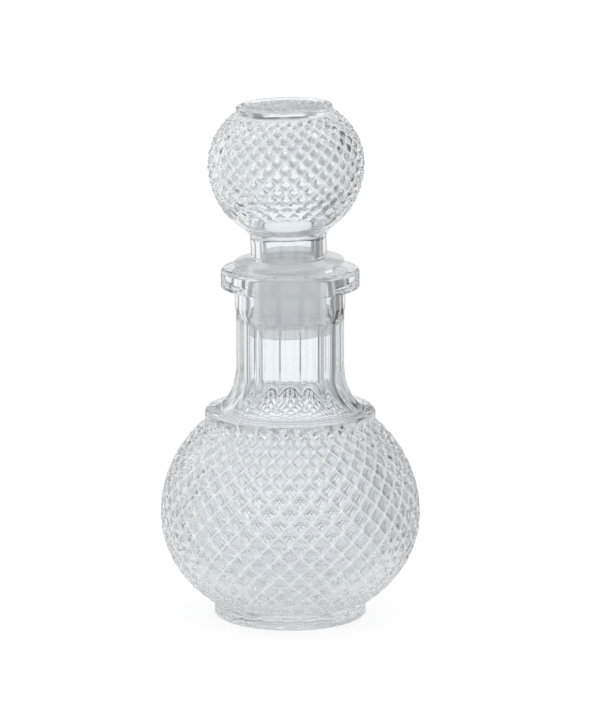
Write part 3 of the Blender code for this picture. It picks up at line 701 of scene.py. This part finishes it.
class CARAFE_OT_bottle(bpy.types.Operator):
    """Make the bottle: fluted foot, globe of diamonds, fluted neck and ring lip in one piece of glass"""
    bl_idname = "carafe.bottle"
    bl_label = "Bottle"

    def execute(self, context):
        bottle = context.scene.carafe_bottle
        heights = bottle_heights(bottle)
        skin = new_skin()
        foot_top = self.foot(skin, bottle)
        globe = arc(0, heights["middle"], bottle.body_radius, BODY_DROP,
                    -acos(FOOT_WAIST_RADIUS / bottle.body_radius), 0, WALK_STEPS)
        globe += arc(0, heights["middle"], bottle.body_radius, BODY_RISE,
                     0, acos(SHOULDER_RADIUS / bottle.body_radius), WALK_STEPS)[1:]
        top_row = heights["globe_top"] + TOP_ROW_RISE
        globe.append((SHOULDER_RADIUS, top_row))
        first, last = diamond_skin(skin, globe, bottle.diamonds_around, bottle.half_rows, PILLOW_SHARES,
                                   0, True, 0)
        zip_rings(skin, foot_top, in_order(first))
        rings = [in_order(last)]
        for step in range(1, EDGE_STEPS):
            share = step / EDGE_STEPS
            height = top_row + CUT_ROW_RISE * share
            rings.append([self.above(skin, vertex, height, 1 - ease(share)) for vertex in rings[0]])
        band = [(SHOULDER_RADIUS, top_row + CUT_ROW_RISE)]
        band += arc(SHOULDER_RADIUS - SHOULDER_EDGE_WIDTH, heights["shoulder_top"] - SHOULDER_EDGE,
                    SHOULDER_EDGE_WIDTH, SHOULDER_EDGE, 0, pi / 2, EDGE_STEPS * 2)[:-1]
        rings += turned_rings(skin, band, len(rings[0]))
        neck = self.neck(skin, bottle, heights)
        join_chain(skin, rings)
        zip_rings(skin, rings[-1], neck[0])
        inside = self.lip_and_inside(skin, bottle, heights)
        zip_rings(skin, neck[-1], inside)
        piece = finish_piece("carafe_bottle", skin)
        glass = glass_material("soda_lime_glass_bottle", context.scene.carafe_finish)
        run_tree(piece, diamond_tree(), glass, Depth=bottle.diamond_depth, Doming=PILLOW_DOMING)
        run_tree(piece, flute_tree(), glass, Depth=bottle.neck_flute_depth, Rounding=RIB_ROUNDING)
        run_tree(piece, uneven_tree("wavy_inside", "waves"), glass, Height=bottle.unevenness,
                 Spacing=WAVE_SPACING)
        settle(piece)
        piece.data.set_sharp_from_angle(angle=CREASE_ANGLE)
        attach(piece, "carafe")
        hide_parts("bottle")
        return {"FINISHED"}

    def above(self, skin, vertex, height, share):
        """A point straight above one of the top row, with a share of its relief."""
        layers = skin.verts.layers.float
        values = {name: vertex[layers[name]] for name in ("across", "along")}
        values["relief"] = values["standing"] = share
        angle = atan2(vertex.co.x, -vertex.co.y)
        return add_point(skin, angle, (SHOULDER_RADIUS, height, 1.0, 0.0), values)

    def foot(self, skin, bottle):
        """The resting ring, the hollow inside it and the fluted side.  Gives back the topmost ring."""
        rest = FOOT_RADIUS - FOOT_REST_DRAW
        side_top = FOOT_HEIGHT - FOOT_TOP_SINK
        side = arc(rest, FOOT_EDGE, FOOT_REST_DRAW, FOOT_EDGE, -pi / 2, 0, CURVE_STEPS // 2)
        side += line(side[-1], (FOOT_RADIUS, side_top), CURVE_STEPS // 2)
        share = bottle.foot_flute_depth / bottle.neck_flute_depth
        depths = [share * ease(height / FOOT_EDGE) * (1 - ease((height - FOOT_EDGE) / side_top) / 2)
                  for _, height in side]
        fluted = fluted_rings(skin, with_normals(side), bottle.foot_flutes, SIDES_PER_FOOT_FLUTE,
                              [0.0] * len(side), depths)
        sides = len(fluted[0])
        waist = FOOT_WAIST_RADIUS - bottle.diamond_depth
        hollow = turned_rings(skin, [(waist, FOOT_HEIGHT - FOOT_TOP_SINK * share)
                                     for share in FOOT_HOLLOW_SHARES], sides)
        join_chain(skin, fluted + hollow)
        slope_end = rest - FOOT_REST_WIDTH - PUSH_UP_SLOPE_WIDTH
        under = arc(slope_end, 0, PUSH_UP_SLOPE_WIDTH, PUSH_UP, 0, pi / 2, CURVE_STEPS // 2)
        under_rings = turned_rings(skin, list(reversed(under)), SMOOTH_SIDES)
        join_chain(skin, list(reversed(under_rings)))
        close_ring(skin, under_rings[0], (0, PUSH_UP, 0, -1))
        zip_rings(skin, fluted[0], under_rings[-1])
        return hollow[-1]

    def neck(self, skin, bottle, heights):
        """The fluted neck, from the shoulder to the plain throat."""
        shoulder = heights["shoulder_top"]
        throat = heights["mouth"] - LIP_HEIGHT - THROAT_LENGTH
        edge = SHOULDER_RADIUS - SHOULDER_EDGE_WIDTH
        arch_start = throat - NECK_ARCH_GAP - NECK_ARCH_HEIGHT
        outline = arc(edge, shoulder + NECK_COVE_HEIGHT, bottle.neck_radius - edge, -NECK_COVE_HEIGHT,
                      pi / 2, 0, CURVE_STEPS)
        for top, steps in ((arch_start, FLUTE_STEPS), (arch_start + NECK_ARCH_HEIGHT, CURVE_STEPS // 2)):
            outline += line(outline[-1], (bottle.neck_radius, top), steps)
        lifts = [max(0.0, (height - arch_start) / NECK_ARCH_HEIGHT) ** 2 for _, height in outline]
        depths = [min(1.0, (height - shoulder) / NECK_FADE_HEIGHT) for _, height in outline]
        rings = fluted_rings(skin, with_normals(outline), bottle.neck_flutes, SIDES_PER_NECK_FLUTE, lifts,
                             depths)
        join_chain(skin, rings)
        return rings

    def lip_and_inside(self, skin, bottle, heights):
        """The throat, the lip, the bore and the inside down to the floor.  Gives back the first ring."""
        bore = bottle.neck_radius - NECK_WALL
        throat = bottle.neck_radius + THROAT_SWELL
        lip = throat + LIP_OVERHANG
        mouth = heights["mouth"]
        lip_bottom = mouth - LIP_HEIGHT
        outside = [(throat, lip_bottom - THROAT_LENGTH)]
        outside += line(outside[0], (throat, lip_bottom - THROAT_FILLET), NECK_STEPS)
        outside += arc(throat + THROAT_FILLET, lip_bottom - THROAT_FILLET, -THROAT_FILLET, THROAT_FILLET,
                       0, pi / 2, EDGE_STEPS)[1:]
        outside += arc(lip - LIP_UNDER_EDGE, lip_bottom + LIP_UNDER_EDGE, LIP_UNDER_EDGE, LIP_UNDER_EDGE,
                       -pi / 2, 0, EDGE_STEPS)
        outside += arc(lip - LIP_EDGE, mouth - LIP_EDGE, LIP_EDGE, LIP_EDGE, 0, pi / 2, EDGE_STEPS * 2)
        outside += arc(bore + MOUTH_EDGE, mouth - MOUTH_EDGE, MOUTH_EDGE, MOUTH_EDGE, pi / 2, pi,
                       EDGE_STEPS)
        rings = turned_rings(skin, outside, SMOOTH_SIDES)
        inner_radius = bottle.body_radius - bottle.body_wall
        inner_rise = BODY_RISE - bottle.body_wall / 2
        shoulder = SHOULDER_RADIUS - INNER_SHOULDER_DRAW
        middle = heights["middle"]
        start = acos(shoulder / inner_radius)
        turn = atan2(inner_radius * sin(start), inner_rise * cos(start))
        cove = (shoulder - bore) / (1 - cos(turn))
        bore_start = middle + inner_rise * sin(start) + cove * sin(turn)
        inside = line(outside[-1], (bore, bore_start), BORE_STEPS)[:-1]
        inside += arc(bore + cove, bore_start, cove, cove, pi, pi + turn, CURVE_STEPS)[:-1]
        inside += arc(0, middle, inner_radius, inner_rise, start, 0, CURVE_STEPS)
        floor = PUSH_UP + FLOOR_THICKNESS
        inside += arc(FLOOR_RADIUS, middle, inner_radius - FLOOR_RADIUS, middle - floor, 0, -pi / 2,
                      CURVE_STEPS)[1:]
        inside += line(inside[-1], (FLOOR_CENTRE, floor), TUBE_STEPS)
        walls = turned_rings(skin, inside, SMOOTH_SIDES)
        mark(skin, walls, "waves", lambda height: ease((bore_start - height) / cove))
        join_chain(skin, rings + walls)
        close_ring(skin, walls[-1], (0, floor, 0, 1))
        return rings[0]


class CARAFE_OT_ball(bpy.types.Operator):
    """Make the stopper's hollow glass ball, with its diamonds, plain bell, neck and dished crown"""
    bl_idname = "carafe.ball"
    bl_label = "Ball"

    def execute(self, context):
        ball = context.scene.carafe_ball
        bottle = context.scene.carafe_bottle
        mouth = bottle_heights(bottle)["mouth"]
        bottom = mouth + FLANGE_LIFT + FLANGE_THICKNESS + BALL_SEAT_GAP
        neck_top = bottom + BALL_NECK_LENGTH
        bell = ball.ball_radius - BALL_BELL_DRAW
        crown = ball.ball_radius - CROWN_DRAW
        turn = acos((ball.neck_radius + BALL_NECK_FILLET) / (ball.ball_radius + BALL_NECK_FILLET))
        middle = neck_top + (ball.ball_radius + BALL_NECK_FILLET) * sin(turn)
        crown_top = middle + BALL_RISE * sin(acos(crown / ball.ball_radius)) + CROWN_BAND_HEIGHT
        bore = ball.neck_radius - BALL_NECK_WALL
        skin = new_skin()

        lower = arc(ball.neck_radius - BALL_NECK_EDGE, bottom + BALL_NECK_EDGE, BALL_NECK_EDGE,
                    BALL_NECK_EDGE, -pi / 2, 0, EDGE_STEPS)
        lower += line(lower[-1], (ball.neck_radius, neck_top), NECK_STEPS)[:-1]
        lower += arc(ball.neck_radius + BALL_NECK_FILLET, neck_top, BALL_NECK_FILLET, BALL_NECK_FILLET,
                     pi, pi - turn, CURVE_STEPS // 2)
        bell_top = -acos(bell / ball.ball_radius)
        lower += arc(0, middle, ball.ball_radius, ball.ball_radius, -turn, bell_top,
                     CURVE_STEPS // 2)[1:-1]
        globe = arc(0, middle, ball.ball_radius, ball.ball_radius, bell_top, 0, WALK_STEPS)
        globe += arc(0, middle, ball.ball_radius, BALL_RISE, 0, acos(crown / ball.ball_radius),
                     WALK_STEPS)[1:]
        first, last = diamond_skin(skin, globe, ball.diamonds_around, ball.half_rows, DOME_SHARES, 1,
                                   False, BALL_FADE_ROWS)
        sides = len(first)
        lower_rings = turned_rings(skin, lower, sides)
        join_chain(skin, lower_rings + [in_order(first)])

        edge = arc(crown - CROWN_EDGE, crown_top - CROWN_EDGE, CROWN_EDGE, CROWN_EDGE, 0, pi / 2,
                   EDGE_STEPS)
        dish = crown - CROWN_RIM_WIDTH
        edge += line(edge[-1], (dish + CROWN_DISH_SLOPE, crown_top), FIN_STEPS)
        edge += line(edge[-1], (dish, crown_top - CROWN_DISH_DEPTH), FIN_STEPS)
        crown_rings = turned_rings(skin, edge, sides)
        join_chain(skin, [in_order(last)] + crown_rings)
        dish_line = line(edge[-1], (dish / DISH_RINGS, crown_top - CROWN_DISH_DEPTH), DISH_RINGS - 1)
        dish_rings = turned_rings(skin, list(reversed(dish_line)), sides)
        mark(skin, dish_rings[:-1], "grains", lambda height: 1.0)
        join_chain(skin, [crown_rings[-1]] + list(reversed(dish_rings)))
        close_ring(skin, dish_rings[0], (0, crown_top - CROWN_DISH_DEPTH, 0, 1))

        inner_radius = ball.ball_radius - ball.ball_wall
        inside = [(bore, bottom)]
        inside += line(inside[0], (bore, neck_top), NECK_STEPS)
        inside += arc(0, middle, inner_radius, inner_radius, asin(bore / inner_radius) - pi / 2, 0,
                      CURVE_STEPS)
        inside += arc(inner_radius - BALL_ROOF_DRAW, middle, BALL_ROOF_DRAW,
                      crown_top - CROWN_THICKNESS - middle, 0, pi / 2, CURVE_STEPS)[1:]
        walls = turned_rings(skin, inside, SMOOTH_SIDES)
        mark(skin, walls, "waves", lambda height: ease((height - neck_top) / ball.neck_radius))
        join_chain(skin, walls)
        zip_rings(skin, lower_rings[0], walls[0])
        close_ring(skin, walls[-1], (0, crown_top - CROWN_THICKNESS, 0, -1))

        piece = finish_piece("ball_stopper", skin)
        glass = glass_material("soda_lime_glass_ball", context.scene.carafe_finish)
        run_tree(piece, diamond_tree(), glass, Depth=ball.diamond_depth, Doming=DOME_DOMING)
        run_tree(piece, uneven_tree("stippled_dish", "grains"), glass, Height=ball.stipple,
                 Spacing=STIPPLE_SPACING)
        run_tree(piece, uneven_tree("wavy_hollow", "waves"), glass, Height=bottle.unevenness,
                 Spacing=WAVE_SPACING)
        settle(piece)
        piece.data.set_sharp_from_angle(angle=FACET_CREASE_ANGLE)
        lean_stopper(piece, mouth)
        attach(piece, "ball")
        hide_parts("stopper_ball")
        return {"FINISHED"}


class CARAFE_OT_plug(bpy.types.Operator):
    """Make the soft plug: flange, tube with two sealing fins, and the spigot inside the ball's neck"""
    bl_idname = "carafe.plug"
    bl_label = "Plug"

    def execute(self, context):
        plug = context.scene.carafe_plug
        bottle = context.scene.carafe_bottle
        ball = context.scene.carafe_ball
        mouth = bottle_heights(bottle)["mouth"]
        bore = bottle.neck_radius - NECK_WALL
        flange_bottom = mouth + FLANGE_LIFT
        flange_top = flange_bottom + FLANGE_THICKNESS
        spigot_top = flange_top + SPIGOT_HEIGHT
        spigot = ball.neck_radius - BALL_NECK_WALL - BALL_SEAT_GAP
        flange = bore + plug.flange_overhang
        tube = bore - PLUG_TUBE_GAP
        skirt = bore - PLUG_SKIRT_GAP
        round_tip = bore - PLUG_FIN_GAP - PLUG_FIN_TIP
        bottom = mouth - plug.plug_depth
        inner = tube - PLUG_WALL
        cap = spigot - SPIGOT_WALL
        cap_top = spigot_top - SPIGOT_WALL
        fin_root = PLUG_FIN_HEIGHT / 2

        outline = [(inner, bottom)]
        outline += line(outline[-1], (skirt - PLUG_TIP_DRAW, bottom), FIN_STEPS - 1)
        outline += line(outline[-1], (skirt, bottom + fin_root), FIN_STEPS)
        upper = mouth - plug.fin_depth
        for top in (upper - PLUG_FIN_STEP, upper):
            outline += line(outline[-1], (skirt, top - PLUG_FIN_HEIGHT), FIN_STEPS)
            outline += line(outline[-1], (round_tip, top - fin_root - PLUG_FIN_TIP), FIN_STEPS)
            outline += arc(round_tip, top - fin_root, PLUG_FIN_TIP, PLUG_FIN_TIP, -pi / 4, 0, FIN_STEPS)
            outline += arc(round_tip, top - PLUG_FIN_TIP, PLUG_FIN_TIP, PLUG_FIN_TIP, 0, pi / 2,
                           NECK_STEPS)
            root = skirt if top < upper else tube
            rise = 0 if top < upper else fin_root
            outline += line(outline[-1], (root, top + rise), FIN_STEPS)
        outline += line(outline[-1], (tube, flange_bottom), TUBE_STEPS)
        outline += arc(flange - FLANGE_EDGE, flange_bottom + FLANGE_EDGE, FLANGE_EDGE, FLANGE_EDGE,
                       -pi / 2, 0, EDGE_STEPS)
        outline += arc(flange - FLANGE_EDGE, flange_top - FLANGE_EDGE, FLANGE_EDGE, FLANGE_EDGE,
                       0, pi / 2, EDGE_STEPS)
        outline += line(outline[-1], (spigot, flange_top), FIN_STEPS)
        outline += arc(spigot - SPIGOT_EDGE, spigot_top - SPIGOT_EDGE, SPIGOT_EDGE, SPIGOT_EDGE,
                       0, pi / 2, EDGE_STEPS)
        outline += line(outline[-1], (spigot * AXIS_SHARE, spigot_top), FIN_STEPS)
        skin = new_skin()
        rings = turned_rings(skin, outline, SMOOTH_SIDES)
        hollow = [(cap * AXIS_SHARE, cap_top), (cap, cap_top), (cap, flange_bottom),
                  (inner, flange_bottom - PLUG_WALL)]
        hollow_rings = turned_rings(skin, hollow, SMOOTH_SIDES)
        join_chain(skin, list(reversed(rings)))
        join_chain(skin, hollow_rings + [rings[0]])
        close_ring(skin, rings[-1], (0, spigot_top, 0, 1))
        close_ring(skin, hollow_rings[0], (0, cap_top, 0, -1))
        piece = finish_piece("stopper_plug", skin)
        plastic = plastic_material("low_density_polyethylene", context.scene.carafe_finish)
        piece.data.materials.append(plastic)
        piece.data.set_sharp_from_angle(angle=CREASE_ANGLE)
        lean_stopper(piece, mouth)
        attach(piece, "plug")
        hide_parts("stopper_collar")
        return {"FINISHED"}


class CARAFE_OT_stage(bpy.types.Operator):
    """Make the pale floor, the soft studio light and the camera"""
    bl_idname = "carafe.stage"
    bl_label = "Stage"

    def execute(self, context):
        scene = context.scene
        look = scene.carafe_stage
        self.floor(scene, look)
        self.world(scene)
        camera = bpy.data.objects.new("camera", bpy.data.cameras.new("camera"))
        scene.collection.objects.link(camera)
        camera.location = (look.camera_shift, -look.camera_distance, look.camera_height)
        camera.rotation_euler = (pi / 2 - look.camera_pitch, 0, 0)
        camera.data.sensor_width = SENSOR_WIDTH
        camera.data.lens = look.image_focus * SENSOR_WIDTH / IMAGE_HEIGHT
        scene.camera = camera
        scene.view_settings.view_transform = "Standard"
        scene.cycles.max_bounces = GLASS_BOUNCES
        scene.cycles.diffuse_bounces = GLASS_BOUNCES
        scene.cycles.glossy_bounces = GLASS_BOUNCES
        scene.cycles.transmission_bounces = GLASS_BOUNCES
        return {"FINISHED"}

    def floor(self, scene, look):
        """A wide floor, plain to the camera.  Beside its own colour it gives what the room's light leaves
        short of white, to the camera and through glass, so that it keeps the carafe's soft shadow.
        Through clear glass its glow
        also carries painted light and shade: the room's rings and cards, and a painted shade under the
        carafe."""
        material, tree = new_material("white_card")
        path = add_node(tree, "ShaderNodeLightPath")
        clear = self.clear_sight(tree, path)
        seen = add_node(tree, "ShaderNodeMath", {0: clear, 1: path.outputs["Is Camera Ray"]},
                        operation="MAXIMUM")
        share = add_node(tree, "ShaderNodeMix", {0: seen, 2: 1.0, 3: SEEN_CARD_SHARE}, data_type="FLOAT")
        color = add_node(tree, "ShaderNodeVectorMath",
                         {0: tuple(look.floor_tint)[:3], "Scale": share}, operation="SCALE")
        card = add_node(tree, "ShaderNodeBsdfDiffuse", {"Color": color})
        place = add_node(tree, "ShaderNodeTexCoord")
        away = add_node(tree, "ShaderNodeVectorMath", {0: place.outputs["Object"]}, operation="LENGTH")
        far = add_node(tree, "ShaderNodeMapRange",
                       {"Value": away.outputs["Value"], "From Min": NEAR_RADIUS, "From Max": FAR_RADIUS},
                       interpolation_type="SMOOTHSTEP")
        sight = add_node(tree, "ShaderNodeVectorMath",
                         {0: place.outputs["Object"], 1: (0, 0, ROOM_MIDDLE)}, operation="SUBTRACT")
        direction = add_node(tree, "ShaderNodeVectorMath", {0: sight}, operation="NORMALIZE")
        # Painted light and shade: where clear glass sees the floor, its glow copies the room's rings and
        # cards
        room = self.room_light(tree, direction)
        # Painted shade: under the carafe the floor's glow, as clear glass sees it, is dimmed to a fixed
        # level
        painted_light_and_shade = add_node(tree, "ShaderNodeMix", {0: far, 2: UNDER_CARAFE_PAINTED_SHADE, 3: room}, data_type="FLOAT")
        through = add_node(tree, "ShaderNodeMix", {0: clear, 2: 1.0, 3: painted_light_and_shade}, data_type="FLOAT")
        level = add_node(tree, "ShaderNodeMath", {0: through, 1: 1 - SEEN_CARD_SHARE * FLOOR_SHADE},
                         operation="MULTIPLY")
        lift = add_node(tree, "ShaderNodeMath", {0: seen, 1: level}, operation="MULTIPLY")
        glow = add_node(tree, "ShaderNodeEmission", {"Color": (1, 1, 1, 1), "Strength": lift})
        both = add_node(tree, "ShaderNodeAddShader", {0: card, 1: glow})
        add_node(tree, "ShaderNodeOutputMaterial", {"Surface": both})
        data = bpy.data.meshes.new("floor")
        skin = bmesh.new()
        bmesh.ops.create_circle(skin, cap_ends=True, segments=FLOOR_SIDES, radius=FLOOR_SPREAD)
        skin.to_mesh(data)
        skin.free()
        data.materials.append(material)
        floor = bpy.data.objects.new("floor", data)
        scene.collection.objects.link(floor)

    def clear_sight(self, tree, path):
        """1 for sight that only clear glass and gloss have turned, 0 for light on a matt skin."""
        turned = add_node(tree, "ShaderNodeMath", {0: path.outputs["Is Transmission Ray"],
                                                   1: path.outputs["Is Glossy Ray"]}, operation="MAXIMUM")
        matt = add_node(tree, "ShaderNodeMath", {0: path.outputs["Diffuse Depth"], 1: 1.0},
                        operation="MINIMUM")
        clear = add_node(tree, "ShaderNodeMath", {0: 1.0, 1: matt}, operation="SUBTRACT")
        return add_node(tree, "ShaderNodeMath", {0: turned, 1: clear}, operation="MULTIPLY")

    def room_light(self, tree, direction):
        """Brightness of the room in a direction: white, dimmed by the rings and changed by the cards.
        The world shines with it, and the floor's glow copies it as painted light and shade.
        """
        parts = add_node(tree, "ShaderNodeSeparateXYZ", {0: direction})
        bearing = add_node(tree, "ShaderNodeMath", {0: parts.outputs["X"], 1: parts.outputs["Y"]},
                           operation="ARCTAN2")
        rise = add_node(tree, "ShaderNodeMath", {0: parts.outputs["Z"]}, operation="ARCSINE")
        angles = add_node(tree, "ShaderNodeCombineXYZ", {"X": bearing, "Y": rise})
        aside = add_node(tree, "ShaderNodeMath", {0: bearing, 1: pi / ROOM_WALLS, 2: -pi / ROOM_WALLS},
                         operation="WRAP")
        wall = add_node(tree, "ShaderNodeCombineXYZ", {"X": aside, "Y": rise})
        middle = add_node(tree, "ShaderNodeVectorMath", {0: wall, 1: (0, FIELD_DROP, 0)}, operation="ADD")
        oval = add_node(tree, "ShaderNodeVectorMath", {0: middle, 1: (1, FIELD_SHAPE, 1)},
                        operation="MULTIPLY")
        around = add_node(tree, "ShaderNodeVectorMath", {0: oval}, operation="LENGTH")
        patches = []
        for angle, half_width, left, right in GREY_RINGS:
            width = radians(half_width)
            reach = radians(angle + half_width)
            off = add_node(tree, "ShaderNodeMath", {0: around.outputs["Value"], 1: radians(angle)},
                           operation="SUBTRACT")
            away = add_node(tree, "ShaderNodeMath", {0: off}, operation="ABSOLUTE")
            side = add_node(tree, "ShaderNodeMapRange",
                            {"Value": aside, "From Min": -reach, "From Max": reach, "To Min": left,
                             "To Max": right})
            patches.append((away, width, side))
        for right, up, half_width, half_height, brightness in CARDS:
            off = add_node(tree, "ShaderNodeVectorMath", {0: angles, 1: (radians(right), radians(up), 0)},
                           operation="SUBTRACT")
            share = add_node(tree, "ShaderNodeVectorMath",
                             {0: off, 1: (radians(half_width), radians(half_height), 1)},
                             operation="DIVIDE")
            away = add_node(tree, "ShaderNodeVectorMath", {0: share}, operation="LENGTH")
            patches.append((away.outputs["Value"], 1, brightness))
        light = 1.0
        for away, width, brightness in patches:
            here = add_node(tree, "ShaderNodeMapRange",
                            {"Value": away, "From Min": width * (1 - CARD_SOFTNESS),
                             "From Max": width * (1 + CARD_SOFTNESS), "To Min": brightness},
                            interpolation_type="SMOOTHSTEP")
            light = add_node(tree, "ShaderNodeMath", {0: light, 1: here}, operation="MULTIPLY")
        return light

    def world(self, scene):
        """White to the camera, and a plain light on everything matt.  Only clear glass and gloss see the
        room, with its rings and cards."""
        world = bpy.data.worlds.new("studio")
        scene.world = world
        world.use_nodes = True
        tree = world.node_tree
        tree.nodes.clear()
        place = add_node(tree, "ShaderNodeTexCoord")
        room = self.room_light(tree, place.outputs["Generated"])
        clear = self.clear_sight(tree, add_node(tree, "ShaderNodeLightPath"))
        strength = add_node(tree, "ShaderNodeMix", {0: clear, 2: PLAIN_LIGHT, 3: room}, data_type="FLOAT")
        light = add_node(tree, "ShaderNodeBackground", {"Color": (1, 1, 1, 1), "Strength": strength})
        add_node(tree, "ShaderNodeOutputWorld", {"Surface": light})


class CARAFE_PT_panel(bpy.types.Panel):
    bl_idname = "CARAFE_PT_panel"
    bl_label = "Glass Carafe"
    bl_space_type = "VIEW_3D"
    bl_region_type = "UI"
    bl_category = "Carafe"

    def draw(self, context):
        for group in GROUPS:
            values = getattr(context.scene, group)
            for name in values.bl_rna.properties.keys():
                if name not in ("rna_type", "name"):
                    self.layout.prop(values, name)
        for operator in OPERATORS:
            self.layout.operator(operator.bl_idname)


GROUPS = {
    "carafe_bottle": CarafeBottleSizes,
    "carafe_ball": CarafeBallSizes,
    "carafe_plug": CarafePlugSizes,
    "carafe_finish": CarafeFinish,
    "carafe_stage": CarafeStageLook,
}
OPERATORS = (CARAFE_OT_bottle, CARAFE_OT_plug, CARAFE_OT_ball, CARAFE_OT_stage)
register_classes, unregister_classes = bpy.utils.register_classes_factory(
    (*GROUPS.values(), *OPERATORS, CARAFE_PT_panel))


def register():
    register_classes()
    for name, group in GROUPS.items():
        setattr(bpy.types.Scene, name, PointerProperty(type=group))


def unregister():
    for name in GROUPS:
        delattr(bpy.types.Scene, name)
    unregister_classes()


def main():
    """Makes every piece and the stage."""
    register()
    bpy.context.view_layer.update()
    bpy.ops.carafe.bottle()
    bpy.ops.carafe.plug()
    bpy.ops.carafe.ball()
    bpy.ops.carafe.stage()


if __name__ == "__main__":
    main()
